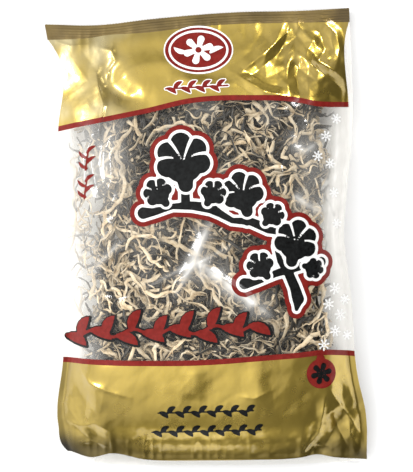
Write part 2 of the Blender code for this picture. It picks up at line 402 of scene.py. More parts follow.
# ---------- meshes
def place_in_scene(name, data, location=(0, 0, 0)):
    made = bpy.data.objects.new(name, data)
    made.location = location
    bpy.context.scene.collection.objects.link(made)
    return made


def add_piece(name, points, faces, finish, slot, replaces=()):
    """A mesh piece from points in millimetres. It rides on the pouch's one body."""
    mesh = bpy.data.meshes.new(name)
    mesh.from_pydata((np.asarray(points, float) * MM).tolist(), [], np.asarray(faces).tolist())
    mesh.update()
    mesh.shade_smooth()
    mesh.materials.append(finish)
    piece = place_in_scene(name, mesh)
    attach(piece, "root")
    if replaces:
        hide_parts(*replaces)
    return piece


def give(piece, key, values):
    """A number at each point of a piece, for its material to read."""
    piece.data.attributes.new(key, "FLOAT", "POINT").data.foreach_set("value", values.astype(np.float32))


PATCH_ROUNDS = 8       # enough to settle where an edge over y meets an edge over x


def grid_faces(rows, columns):
    """The quads of a grid of points, each listed row by row."""
    first = (np.arange(rows)[:, None] * (columns + 1) + np.arange(columns)).reshape(-1)
    return np.stack([first, first + 1, first + columns + 2, first + columns + 1], axis=1)


def patch(name, left, right, low, high, height, cell, finish, slot, replaces=()):
    """A sheet between two edges x over y and two edges y over x, at a height over (x, y)."""
    centre = np.array(0.0)
    middle = (low(centre) + high(centre)) / 2
    columns = max(2, int(round(float(right(middle) - left(middle)) / cell)))
    rows = max(2, int(round(float(high(centre) - low(centre)) / cell)))
    s, t = np.meshgrid(np.linspace(0, 1, columns + 1), np.linspace(0, 1, rows + 1))
    x = np.zeros_like(s)
    for _ in range(PATCH_ROUNDS):
        y = low(x) + t * (high(x) - low(x))
        x = left(y) + s * (right(y) - left(y))
    points = np.stack([x, y, height(x, y)], axis=-1).reshape(-1, 3)
    piece = add_piece(name, points, grid_faces(rows, columns), finish, slot, replaces)
    x, y, _ = points.T
    # the clear film gets haze and painted glare; the gold gets painted light and shade and painted glare
    if finish is CLEAR:
        give(piece, "haze_and_glare", film_haze_and_glare(x, y) if height is front_height else np.full(len(x), BACK_HAZE))
    if finish is GOLD:
        give(piece, "shade", painted_gold_shading(x, y))
        give(piece, "glare_pale", gold_glare_paleness(x, y))
    if finish is GOLD_SEAL:
        give(piece, "shade", np.ones(len(x)))


# ---------- materials
def new_material(name):
    made = bpy.data.materials.new(name)
    made.use_nodes = True
    made.node_tree.nodes.clear()
    return made, made.node_tree


def finished(made, shader):
    add_node(made.node_tree, "OutputMaterial", {"Surface": shader})
    return made


def add_node(tree, kind, inputs, **settings):
    """A node with its settings and its inputs, each a constant or another node's output."""
    made = tree.nodes.new("ShaderNode" + kind)
    for key, value in settings.items():
        setattr(made, key, value)
    for key, value in inputs.items():
        if isinstance(value, bpy.types.NodeSocket):
            tree.links.new(value, made.inputs[key])
        else:
            made.inputs[key].default_value = value
    return made


def ramp(tree, fac, stops):
    made = add_node(tree, "ValToRGB", {"Fac": fac})
    elements = made.color_ramp.elements
    while len(elements) < len(stops):
        elements.new(0.5)
    for element, (position, color) in zip(elements, stops):
        element.position = position
        element.color = (*color, 1)
    return made.outputs["Color"]


def noise_at(tree, scale, detail, roughness=0.55):
    place = add_node(tree, "TexCoord", {}).outputs["Object"]
    inputs = {"Vector": place, "Scale": scale, "Detail": detail, "Roughness": roughness}
    return add_node(tree, "TexNoise", inputs).outputs["Fac"]


def bump(tree, height, strength, distance):
    inputs = {"Height": height, "Strength": strength, "Distance": distance}
    return add_node(tree, "Bump", inputs).outputs["Normal"]


def given(tree, key):
    """The number that give() stored at each point under this key."""
    return add_node(tree, "Attribute", {}, attribute_name=key).outputs["Fac"]


def spread(tree, value, low, high):
    """A number from 0 to 1, spread from low to high."""
    return add_node(tree, "MapRange", {"Value": value, "To Min": low, "To Max": high}).outputs[0]


def product(tree, color, share):
    return add_node(tree, "VectorMath", {0: color, 1: share}, operation="MULTIPLY").outputs[0]


def mixed_color(tree, share, first, second):
    inputs = {"Factor": share, 6: first, 7: second}
    return add_node(tree, "Mix", inputs, data_type="RGBA").outputs[2]


def surface(tree, inputs, kind="Principled"):
    return add_node(tree, "Bsdf" + kind, inputs).outputs[0]


def mixed(tree, share, first, second):
    return add_node(tree, "MixShader", {0: share, 1: first, 2: second}).outputs[0]


def clear_film_material():
    """Clear film: see-through, a little hazy, with the gloss of thin plastic; its milky white also carries
    painted glare.
    """
    made, tree = new_material("clear_film")
    wrinkle = bump(tree, noise_at(tree, 110, 2), 0.08, 0.0008)
    clear = surface(tree, {"Color": (0.985, 0.98, 0.965, 1)}, "Transparent")
    milky = surface(tree, {"Base Color": (0.95, 0.93, 0.88, 1), "Roughness": 0.4, "Normal": wrinkle})
    gloss = surface(tree, {"Color": (1, 1, 1, 1), "Roughness": 0.12, "Normal": wrinkle}, "Glossy")
    slant = add_node(tree, "LayerWeight", {"Blend": 0.5, "Normal": wrinkle}).outputs["Facing"]
    steep = add_node(tree, "Math", {0: slant, 1: 5.0}, operation="POWER").outputs[0]
    body = mixed(tree, given(tree, "haze_and_glare"), clear, milky)
    return finished(made, mixed(tree, spread(tree, steep, 0.026, 1.0), body, gloss))


def gold_material(name, light, dark, roughness):
    """Gold ink on film: metallic, painted pale toward cream at the upper left as a painted highlight of
    glare, with the film's own gloss over it.
    """
    made, tree = new_material(name)
    ink = ramp(tree, noise_at(tree, 26, 4), [(0.35, dark), (0.65, light)])
    shaded = product(tree, ink, given(tree, "shade"))
    # painted highlight: the gold is paled toward cream where glare falls at the upper left
    color = mixed_color(tree, given(tree, "glare_pale"), shaded, GLARE_PALE_GOLD)
    shine = spread(tree, noise_at(tree, 60, 4), roughness - 0.06, roughness + 0.08)
    wrinkle = bump(tree, noise_at(tree, 190, 5), 0.16, 0.0008)
    return finished(made, surface(tree, {
        "Base Color": color, "Metallic": 0.88, "Roughness": shine, "Normal": wrinkle,
        "Coat Weight": 1.0, "Coat Roughness": 0.1, "Coat IOR": 1.55}))


def ink_material(name, light, dark, roughness=0.3):
    """Flat printing ink under the film's gloss, slightly uneven as it was laid down."""
    made, tree = new_material(name)
    color = ramp(tree, noise_at(tree, 420, 5), [(0.35, dark), (0.65, light)])
    wrinkle = bump(tree, noise_at(tree, 260, 3), 0.2, 0.0005)
    return finished(made, surface(tree, {
        "Base Color": color, "Roughness": roughness, "Normal": wrinkle, "Specular IOR Level": 0.18}))


def frost_material():
    """Thin white ink that lets some of what is behind it through."""
    made, tree = new_material("thin_white_ink")
    clear = surface(tree, {"Color": (1, 1, 1, 1)}, "Transparent")
    ink = surface(tree, {"Base Color": (0.95, 0.95, 0.94, 1), "Roughness": 0.35})
    return finished(made, mixed(tree, spread(tree, noise_at(tree, 500, 3), 0.75, 0.98), clear, ink))


def shred_material():
    """Dried wood ear: one side black-brown and slightly shiny, the other pale and velvety."""
    made, tree = new_material("dried_wood_ear")
    side = given(tree, "pale")
    grain = noise_at(tree, 900, 5, 0.65)
    blotch = noise_at(tree, 220, 4, 0.6)
    pale = ramp(tree, blotch, [(0.3, (0.50, 0.36, 0.21)), (0.45, (0.80, 0.64, 0.42)),
                               (0.7, (0.91, 0.80, 0.62))])
    dark = ramp(tree, blotch, [(0.3, (0.012, 0.011, 0.009)), (0.55, (0.045, 0.04, 0.032)),
                               (0.8, (0.12, 0.105, 0.08))])
    both = mixed_color(tree, side, dark, pale)
    # the stored tone holds each ribbon's random tone and painted shade, darker towards the top seal
    levels = {0: spread(tree, given(tree, "tone_and_shade"), 0.6, 1.15), 1: spread(tree, grain, 0.75, 1.2)}
    level = add_node(tree, "Math", levels, operation="MULTIPLY").outputs[0]
    return finished(made, surface(tree, {
        "Base Color": product(tree, both, level), "Roughness": spread(tree, side, 0.42, 0.85),
        "Normal": bump(tree, grain, 0.5, 0.0004)}))


def floor_material():
    made, tree = new_material("pale_floor")
    return finished(made, surface(tree, {"Base Color": (0.93, 0.93, 0.925, 1), "Roughness": 0.75}))


# the cream the gold is painted toward at the upper left, a painted highlight of glare
GLARE_PALE_GOLD = (0.80, 0.72, 0.46, 1)
CLEAR = clear_film_material()
GOLD = gold_material("gold_ink", (0.63, 0.450, 0.080), (0.52, 0.366, 0.054), 0.28)
# the seal band's gold is darker: partly the duller crimped seal, partly painted shade where the seal tilts
# away and reflects the dark room
GOLD_SEAL = gold_material("gold_seal", (0.30, 0.205, 0.055), (0.11, 0.070, 0.015), 0.34)
RED = ink_material("red_ink", (0.205, 0.015, 0.011), (0.150, 0.010, 0.007))
WHITE = ink_material("white_ink", (0.90, 0.89, 0.87), (0.82, 0.81, 0.79))
BLACK = ink_material("black_ink", (0.011, 0.012, 0.012), (0.005, 0.005, 0.005), 0.22)
FROST = frost_material()
SHRED = shred_material()


# ---------- the films
CELL = 0.85            # the grid of the front film where it is clear, and of the other parts
GOLD_CELL = 0.62
LINE_CELL = 0.7
SEAL_CELL = 0.42
BACK_CELL = 1.6
TOOTH = 0.9            # half the width of a tooth of the cut top edge, and the tooth's height
TOOTH_HEIGHT = 0.35
RIB = 1.7              # from rib to rib of the top seal, and how far a rib rises or dips
RIB_HEIGHT = 0.16
BACK_HAZE = 0.02


def inset(edge, knots):
    """An edge moved by the smooth curve through knots."""
    amount = curve_through(knots)
    return lambda t: edge(t) + amount(t)


def toothed_edge(x):
    """The top edge as the cutter leaves it, in small teeth."""
    return top_edge(x) - TOOTH_HEIGHT + TOOTH_HEIGHT * abs((x / TOOTH) % 2 - 1)


def top_line_high(x):
    return top_line(x) + RED_LINE


def bottom_line_low(x):
    return bottom_line(x) - RED_LINE


def crimped(x, y):
    """The front film over the top seal, which is pressed into fine ribs along it."""
    inside = ease(0, 1, y - seal_line(x)) * ease(0, 1.2, top_edge(x) - y)
    return front_height(x, y) + RIB_HEIGHT * inside * np.sin(2 * math.pi * (y - top_edge(x)) / RIB)


def build_films():
    """The front film as patches that meet edge to edge, with clear margins, and the back film."""
    gold_left = inset(left_edge, [(-140, 0.4), (-80, 0.6), (64, 3.8), (116, 3.4), (123, 0)])
    gold_right = inset(right_edge, [(-140, 0), (-70, -0.3), (78, -2.6), (128, -2.2), (135, 0)])
    clear = {"height": front_height, "cell": CELL, "finish": CLEAR, "slot": "clear_film"}
    gold = {"height": front_height, "cell": GOLD_CELL, "finish": GOLD, "slot": "printed_film"}
    red = {**gold, "cell": LINE_CELL, "finish": RED}
    patch("window_film", left_edge, right_edge, bottom_line, top_line, replaces=["front_film"], **clear)
    patch("film_edge_bottom", left_edge, right_edge, bottom_edge, print_end, **clear)
    for name, low, high in (("top", top_line, seal_line), ("bottom", print_end, bottom_line)):
        patch(f"film_margin_{name}_left", left_edge, gold_left, low, high, **clear)
        patch(f"film_margin_{name}_right", gold_right, right_edge, low, high, **clear)
    patch("gold_panel_top", gold_left, gold_right, top_line_high, seal_line, **gold)
    patch("gold_panel_bottom", gold_left, gold_right, print_end, bottom_line_low, **gold)
    patch("seal_band_top", left_edge, right_edge, seal_line, toothed_edge, crimped, SEAL_CELL, GOLD_SEAL,
          "printed_film")
    patch("red_line_top", gold_left, gold_right, top_line, top_line_high, **red)
    patch("red_line_bottom", gold_left, gold_right, bottom_line_low, bottom_line, **red)
    patch("back_film_sheet", left_edge, right_edge, bottom_edge, top_edge, back_z, BACK_CELL, CLEAR,
          "clear_film", replaces=["back_film"])


# ---------- the print's shapes, as signed distances
def stroke(points):
    """A brush stroke through (x, y, radius) points."""
    def distance(x, y):
        best = np.full(np.shape(x), np.inf)
        for (*start, thin), (*end, thick) in zip(points[:-1], points[1:]):
            w, away = nearest_on_segment(x, y, start, end)
            best = np.minimum(best, away - (thin + w * (thick - thin)))
        return best

    return distance


def union(shapes):
    return lambda x, y: np.min([shape(x, y) for shape in shapes], axis=0)


def moved(shape, dx, dy):
    return lambda x, y: shape(x - dx, y - dy)


def disc(cx, cy, radius):
    return lambda x, y: np.hypot(x - cx, y - cy) - radius


def oval(cx, cy, across, up):
    return lambda x, y: (np.hypot((x - cx) / across, (y - cy) / up) - 1) * min(across, up)


def band(shape, half):
    """The line of a shape's outline."""
    return lambda x, y: abs(shape(x, y)) - half


OUTLINE_ROUNDS = 3     # steps that bring a grid's points onto an outline


def decal(name, shape, reach, lift, finish, grow=0.0, cell=0.45):
    """Ink on the front film: what is inside a shape grown by an amount, over an (x, y, x, y) box.

    lift is how far it stands off the film, so that each layer of ink covers the one before it."""
    low_x, low_y, high_x, high_y = reach
    shape = sampled(shape, reach, 0.3)
    columns = int(math.ceil((high_x - low_x) / cell))
    rows = int(math.ceil((high_y - low_y) / cell))
    x, y = np.meshgrid(low_x + cell * np.arange(columns + 1), low_y + cell * np.arange(rows + 1))
    inside = shape(x, y) < grow
    used = inside[:-1, :-1] | inside[1:, :-1] | inside[:-1, 1:] | inside[1:, 1:]
    faces = grid_faces(rows, columns)[used.reshape(-1)]
    nudge = 0.02
    for _ in range(OUTLINE_ROUNDS):
        away = np.where(inside, 0, np.maximum(shape(x, y) - grow, 0))
        slope_x = (shape(x + nudge, y) - shape(x - nudge, y)) / (2 * nudge)
        slope_y = (shape(x, y + nudge) - shape(x, y - nudge)) / (2 * nudge)
        steep = np.maximum(slope_x**2 + slope_y**2, 0.2)
        x, y = x - away * slope_x / steep, y - away * slope_y / steep
    points = np.stack([x, y, front_z(x, y) + lift], axis=-1).reshape(-1, 3)
    kept, faces = np.unique(faces, return_inverse=True)
    add_piece(name, points[kept], faces.reshape(-1, 4), finish, "printed_film")


EAR_FAN = 0.86         # the angle from lobe to lobe of an ear, in radians
EAR_LOBES = (0.60, 0.68, 0.72, 0.66, 0.58)
EAR_SLITS = ((0.30, 1.0), (0.08, 0.92), (0.12, 1.0), (0.34, 0.95))


def ear(x, y, heading, size):
    """One wood ear as a brush draws it: a scalloped lobe on a short stalk at (x, y), with slits in it."""
    turn = math.radians(heading)
    cx, cy = x + 0.8 * size * math.cos(turn), y + 0.8 * size * math.sin(turn)

    def around(angle, reach, radius):
        return cx + reach * math.cos(angle), cy + reach * math.sin(angle), radius

    lobes = [disc(cx, cy, 0.72 * size), stroke([(x, y, 0.26 * size), (cx, cy, 0.42 * size)])]
    for k, reach in enumerate(EAR_LOBES):
        lobes.append(disc(*around(turn + EAR_FAN * (k - 2), reach * size, 0.37 * size)))
    slits = []
    for k, (near, far) in enumerate(EAR_SLITS):
        points = []
        for t in (0, 0.25, 0.5, 0.75, 1):
            angle = turn + EAR_FAN * (k - 1.5) * (0.75 + 0.3 * t)
            points.append(around(angle, size * (near + (far - near) * t), size * (0.02 + 0.05 * t)))
        slits.append(stroke(points))
    lobe, slit = union(lobes), union(slits)
    return lambda px, py: np.maximum(lobe(px, py), -slit(px, py))


def overlapped(shapes, gap):
    """Shapes from front to back, each with a gap left round those in front of it."""

    def distance(x, y):
        total = shapes[0](x, y)
        for shape in shapes[1:]:
            total = np.minimum(total, np.maximum(shape(x, y), gap - total))
        return total

    return distance


def leaf(x, y, length, heading, half):
    """A pointed leaf from its stem to its tip."""
    turn = math.radians(heading)
    points = []
    for k in range(7):
        t = k / 6
        bow = 0.12 * length * math.sin(math.pi * t)
        points.append((x + t * length * math.cos(turn) - bow * math.sin(turn),
                       y + t * length * math.sin(turn) + bow * math.cos(turn),
                       0.25 + half * math.sin(math.pi * min(1, 0.12 + t * 0.88)) ** 0.9))
    return stroke(points)


def flower(cx, cy, radius, petals, half, turn=0.0):
    """A plain flower of straight petals."""
    shapes = []
    for k in range(petals):
        angle = turn + 2 * math.pi * k / petals
        dx, dy = radius * math.cos(angle), radius * math.sin(angle)
        shapes.append(stroke([(cx + 0.25 * dx, cy + 0.25 * dy, 0.6 * half), (cx + dx, cy + dy, half)]))
    return union(shapes)


# ---------- the print on the front film
# (x, y, heading, size) of each ear, from front to back, and the twigs as (x, y, thickness) points
EARS = [(-24, 20, 128, 9.0), (1, 20, 60, 8.0), (-12, 31, 97, 17.0),
        (36, 8, 50, 7.5), (25, 15, 104, 13.0),
        (37, -24, 124, 8.5), (60, -18, -14, 6.5), (52, -15, 78, 13.5)]
TWIGS = [
    [(-37.5, 14, 3.6), (-32, 14.5, 2.4), (-20, 18, 1.7), (-8, 18.5, 2.6), (3, 17, 3.2), (9, 13.5, 2.2)],
    [(9, 13.5, 2.2), (16, 9.5, 1.7), (27, 9, 2.4), (38, 4.5, 2.8), (46, 2.5, 1.8)],
    [(-12, 19, 2.8), (-12.5, 32, 2.4)],
    [(25, 9, 2.6), (25, 16, 2.2)],
    [(23.5, -28.5, 3.4), (30, -27.5, 2.0), (42, -22.5, 2.1), (53, -19, 2.8), (63, -17, 2.0),
     (70.5, -15.5, 3.0)],
    [(46, 2.5, 1.8), (42.5, -6, 1.4), (45, -15, 1.8), (50, -22, 2.8), (54, -31, 3.0), (56, -38, 3.6),
     (55, -44, 1.2)],
]
# (x, y, radius) of the small white flowers on the clear margin at the right
SMALL_FLOWERS = [(79.5, -32, 3.2), (75.2, -41.4, 3.1), (86, -38.9, 2.7), (82.9, -48.2, 3.3),
                 (79.5, -58.1, 3.1), (72.1, -66.2, 3.1), (87.5, -61, 2.6), (73.9, 61.5, 2.9),
                 (68.4, 49.1, 2.8), (76.5, 44.8, 2.7), (80.5, 72.5, 2.8), (79, 27, 2.7), (81, 8, 2.6)]


def build_motif():
    """A twig with wood ears that steps down to the right, in black edged with white and red."""
    twigs = union([stroke(points) for points in TWIGS])
    motif = overlapped([ear(*spec) for spec in EARS] + [twigs], 1.5)
    reach = (-48, -54, 80, 76)
    decal("motif_outline_red", motif, reach, 0.18, RED, grow=4.6, cell=0.6)
    decal("motif_outline_white", motif, reach, 0.28, WHITE, grow=1.8, cell=0.5)
    decal("motif_black", motif, reach, 0.38, BLACK)


def build_vine():
    """A leafy vine that rises slightly to the right, red with a dark edge."""
    def stem_y(x):
        return -57.5 + 0.045 * (x + 27) + 2.2 * math.sin(2 * math.pi * x / 25)

    vine = [stroke([(x, stem_y(x), 0.9) for x in range(-86, 34, 3)])]
    for k in range(15):
        x = -85 + 8.0 * k
        vine.append(leaf(x, stem_y(x), 13, 64 if k % 2 else -24, 2.9))
    row = union(vine)
    reach = (-92, -74, 44, -40)
    decal("vine_dark", moved(row, 0.5, -0.4), reach, 0.18, BLACK, grow=1.1)
    decal("vine_red", row, reach, 0.28, RED, cell=0.4)


def build_sprigs():
    """Two small red sprigs at the left of the window."""
    sprigs = []
    for x, y in ((-72.5, 47.5), (-73.2, 30)):
        sprigs.append(stroke([(x - 0.8, y - 7, 0.6), (x, y, 0.5), (x + 1.2, y + 6.5, 0.4)]))
        sprigs += [leaf(x, y - 6 + 3.2 * k, 6.6, 38 if k % 2 else 142, 0.85) for k in range(4)]
    decal("sprigs_red", union(sprigs), (-83, 20, -62, 58), 0.18, RED, cell=0.3)


def build_medallion(cx=-4.5, cy=115.2):
    """An oval medallion with a plain flower and two leaves, on the top panel."""
    reach = (cx - 24, cy - 18, cx + 24, cy + 18)
    decal("medallion_edge", oval(cx, cy, 21.5, 15.6), reach, 0.14, WHITE)
    decal("medallion_rim", band(oval(cx, cy, 19.6, 13.7), 0.75), reach, 0.24, RED)
    decal("medallion_red", oval(cx, cy, 17.2, 11.4), reach, 0.24, RED)
    petals = flower(cx, cy, 7.2, 6, 2.2, 0.3)
    sides = [leaf(cx + side * 7.5, cy - 1.5, 8.2, 90 - side * 68, 1.3) for side in (-1, 1)]
    decal("medallion_flower", union([petals, *sides]), reach, 0.34, WHITE, cell=0.35)
    decal("medallion_eye", disc(cx, cy, 1.9), reach, 0.44, RED, cell=0.3)


def build_leaf_line(left=-23.5):
    """A line of small red leaves edged white, under the medallion."""
    leaves = [leaf(left + 4.4 * k, 90.4 + 0.2 * k, 6.2, 42 if k % 2 else -30, 1.15) for k in range(8)]
    stem = stroke([(left - 1, 90.2, 0.5), (left + 37, 92.2, 0.5)])
    reach = (-30, 82, 20, 102)
    decal("leaf_line_white", union([*leaves, stem]), reach, 0.14, WHITE, grow=0.6, cell=0.35)
    decal("leaf_line_red", union([*leaves, stem]), reach, 0.24, RED, cell=0.3)


def build_garlands():
    """Two garlands of small dark leaves on the bottom panel."""
    garlands = []
    for low, high, y in ((-29, 29, -106.7), (-33, 34, -119.3)):
        garlands.append(stroke([(low, y - 0.8, 0.4), (high, y + 0.8, 0.4)]))
        count = int((high - low) / 4.6)
        for k in range(count):
            x = low + (k + 0.3) * (high - low) / count
            garlands.append(leaf(x, y + 0.02 * x, 5.6, 40 if k % 2 else -36, 1.35))
    decal("garlands_black", union(garlands), (-38, -128, 40, -98), 0.14, BLACK, cell=0.35)


def build_badge(cx=70.6, cy=-83.6):
    """A red disc at the lower right, joined to the red line, with a plain dark flower on it."""
    stem = stroke([(cx - 0.5, cy + 8, 3.2), (cx - 1, cy + 12.6, 1.4)])
    decal("badge_red", union([disc(cx, cy, 9.2), stem]), (cx - 11, cy - 11, cx + 11, cy + 15), 0.2, RED)
    blossom = overlapped([disc(cx, cy, 1.6), flower(cx, cy, 4.9, 6, 1.75, 0.25)], 0.5)
    decal("badge_motif", blossom, (cx - 9, cy - 9, cx + 9, cy + 9), 0.3, BLACK, cell=0.3)


def build_small_flowers():
    shapes = [flower(x, y, radius, 7, 0.55, 0.4 * k) for k, (x, y, radius) in enumerate(SMALL_FLOWERS)]
    decal("small_flowers", union(shapes), (64, -70, 92, 78), 0.18, FROST, cell=0.3)


# ---------- the shreds
STATIONS = 14          # points along a ribbon of the fill, and along a ribbon that lies by itself
LOOSE_STATIONS = 30
RING = 6               # points round a ribbon
SKIN = 0.25            # the least room between a ribbon and a film


def ribbon_routes(rng, x, y, depth, lengths, lie):
    """Centrelines of ribbons that start at (x, y), a depth under the front film, and wander level.

    Returns points of shape (ribbons, stations, 3). lie is how steeply a ribbon may rise or dip."""
    count = len(x)
    heading = rng.uniform(0, 2 * math.pi, count)
    bend = rng.normal(0, 0.042, count)
    swing = rng.uniform(0.1, 0.8, count)
    period = rng.uniform(10, 28, count)
    phase = rng.uniform(0, 2 * math.pi, count)
    hook = rng.normal(0, 1.3, count)
    kink = rng.normal(0, 1.1, count) * (rng.random(count) < 0.5)
    kink_at = rng.uniform(0.2, 0.8, count)
    slope = rng.normal(0, lie, count)
    step = lengths / (STATIONS - 1)
    routes = np.zeros((count, STATIONS, 3))
    for k in range(STATIONS):
        along = k * step
        ceiling = under_film_z(x, y)
        floor = np.maximum(back_z(x, y), 0) + 1.0
        dip = 0.7 + 0.7 * np.sin(along / period * 4.5 + phase)
        sink = np.where(slope > 0, slope * along, -slope * (lengths - along))
        z = ceiling - depth - sink - dip
        routes[:, k] = np.stack([x, y, np.clip(z, floor, np.maximum(ceiling, floor + 0.5))], axis=1)
        share = k / (STATIONS - 1)
        turn = heading + bend * along + swing * np.sin(2 * math.pi * along / period + phase)
        turn = turn + hook * share**4 + kink * (share > kink_at)
        x = x + step * np.cos(turn)
        y = y + step * np.sin(turn)
    return routes


def ribbon_faces(count, stations):
    """Quads round and along ribbons whose points are listed ring by ring, with their ends closed."""
    base = (np.arange(count)[:, None, None] * stations + np.arange(stations - 1)[None, :, None]) * RING
    i = np.arange(RING)[None, None, :]
    j = (i + 1) % RING
    walls = np.stack([base + i, base + j, base + RING + j, base + RING + i], axis=-1).reshape(-1, 4)
    first = np.arange(count)[:, None] * stations * RING
    last = first + (stations - 1) * RING
    caps = [first + np.array(c) for c in ([0, 5, 4, 1], [1, 4, 3, 2])]
    caps += [last + np.array(c) for c in ([0, 1, 4, 5], [1, 2, 3, 4])]
    return np.concatenate([walls, *caps])[:, ::-1]


def ribbon_mesh(name, rng, routes, widths, thickness, flatness, pale_up, slot, replaces=()):
    """Ribbons along routes as one mesh: cupped strips, dark on one side and pale on the other.

    flatness is how nearly a ribbon lies flat: 1 nearly always, 0 at any angle round its length.
    pale_up is the chance that its pale side is up. The shreds' random tone carries painted shade too,
    darker towards the top seal."""
    count, stations, _ = routes.shape
    along = np.gradient(routes, axis=1)
    along /= np.maximum(np.linalg.norm(along, axis=2, keepdims=True), 1e-9)
    level = np.cross(along, [0, 0, 1])
    level /= np.maximum(np.linalg.norm(level, axis=2, keepdims=True), 1e-9)
    rise = np.cross(level, along)
    t = np.linspace(0, 1, stations)[None, :]
    facing = np.where(rng.random((count, 1)) < pale_up, 0, math.pi)
    roll = facing + rng.normal(0, 1.3 * (1 - flatness) + 0.15, (count, 1))
    roll = roll + rng.normal(0, 1.6 * (1 - flatness) + 0.25, (count, 1)) * (t - 0.5) * 2
    roll = roll + 0.5 * np.sin(t * rng.uniform(4, 12, (count, 1)) + rng.uniform(0, 6, (count, 1)))
    # across the ribbon and out of its pale side, then its width and its cup
    cos, sin = np.cos(roll)[..., None], np.sin(roll)[..., None]
    across = level * cos + rise * sin
    outward = rise * cos - level * sin
    taper = np.minimum(1, 0.6 + 9 * t * (1 - t))
    ragged = 1 + 0.16 * np.sin(t * rng.uniform(8, 34, (count, 1)) + rng.uniform(0, 6, (count, 1)))
    ragged = ragged + 0.08 * rng.normal(0, 1, (count, stations))
    half = (widths[:, None] / 2 * taper * ragged)[..., None]
    thick = thickness / 2 * np.ones_like(half)
    cup = half * rng.uniform(-0.1, 0.55, (count, 1, 1))
    ring = []
    for a, side in ((-1, 1), (0, 1), (1, 1), (1, -1), (0, -1), (-1, -1)):
        edge = 0.55 if a else 1.0
        ring.append(routes + across * half * a + outward * (side * thick * edge + cup * (a * a - 0.4)))
    points = np.stack(ring, axis=2).reshape(-1, 3)
    x, y, z = points.T
    points[:, 2] = np.maximum(np.minimum(z, front_z(x, y) - SKIN), back_z(x, y) + SKIN)
    piece = add_piece(name, points, ribbon_faces(count, stations), SHRED, slot, replaces)
    # each ribbon's random tone, with painted shade that darkens it towards the top seal
    tone_and_shade = rng.random(count) * (1 - 0.6 * ease(20, 70, routes[:, :, 1].mean(axis=1)))
    give(piece, "pale", np.tile([1, 1, 1, 0, 0, 0], count * stations))
    give(piece, "tone_and_shade", np.repeat(tone_and_shade, stations * RING))


# Where the fill starts at the left, as u over v, where it ends at the right, and its two ends.
fill_left = curve_through([
    (-0.9, -0.80), (-0.45, -0.84), (-0.2, -0.76), (0, -0.69), (0.25, -0.64), (0.40, -0.66),
    (0.5, -0.80), (0.7, -0.80),
])
FILL_RIGHT = 0.79
FILL_ENDS = (-0.88, 0.66)
FILL_WIDEST = 0.88     # what no ribbon of the fill crosses: |u|, and v at both ends
FILL_LIMITS = (-0.9, 0.72)


def in_fill(x, y):
    """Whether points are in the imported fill, which is ragged at both sides."""
    u, v = shares(x, y)
    ragged = 0.06 * lumps(x, y, 18, 41) + 0.05 * lumps(x, y, 7, 43)
    low, high = FILL_ENDS
    return (u > fill_left(v) + ragged) & (u < FILL_RIGHT + ragged) & (v > low) & (v < high)


# (name, ribbons, least and greatest depth, least and greatest width, thickness, flatness, pale_up)
LAYERS = [
    ("shreds_top", 1000, 0.0, 4.5, 0.8, 2.7, 0.45, 0.8, 0.6),
    ("shreds_upper", 950, 2.0, 8.0, 1.0, 3.2, 0.5, 0.55, 0.35),
    ("shreds_middle", 650, 6.0, 18.0, 1.8, 3.8, 0.6, 0.3, 0.4),
    ("shreds_lower", 480, 16.0, 40.0, 1.8, 4.6, 0.6, 0.4, 0.5),
]


def build_shreds():
    """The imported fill: layers of ribbons, each mostly inside the fill and all of it inside the pouch."""
    rng = np.random.default_rng(5)
    low, high = FILL_LIMITS
    for name, count, near, far, thin, wide, thickness, flatness, pale_up in LAYERS:
        routes = np.zeros((0, STATIONS, 3))
        while len(routes) < count:
            x, y = rng.uniform(-90, 90, count), rng.uniform(-128, 96, count)
            depth, length = rng.uniform(near, far, count), rng.uniform(12, 48, count)
            tries = ribbon_routes(rng, x, y, depth, length, 0.12)
            inside = in_fill(tries[..., 0], tries[..., 1]).mean(axis=1) > 0.75
            u, v = shares(tries[..., 0], tries[..., 1])
            enclosed = ((abs(u) < FILL_WIDEST) & (v > low) & (v < high)).all(axis=1)
            routes = np.concatenate([routes, tries[inside & enclosed]])
        widths = rng.uniform(thin, wide, count)
        replaces = ["packed_shreds"] if name == "shreds_top" else ()
        ribbon_mesh(name, rng, routes[:count], widths, thickness, flatness, pale_up, "mixed_shreds",
                    replaces)


MARGIN_COUNT = 90      # ribbons in the margins, and how many are tried at a time
MARGIN_TRIES = 400

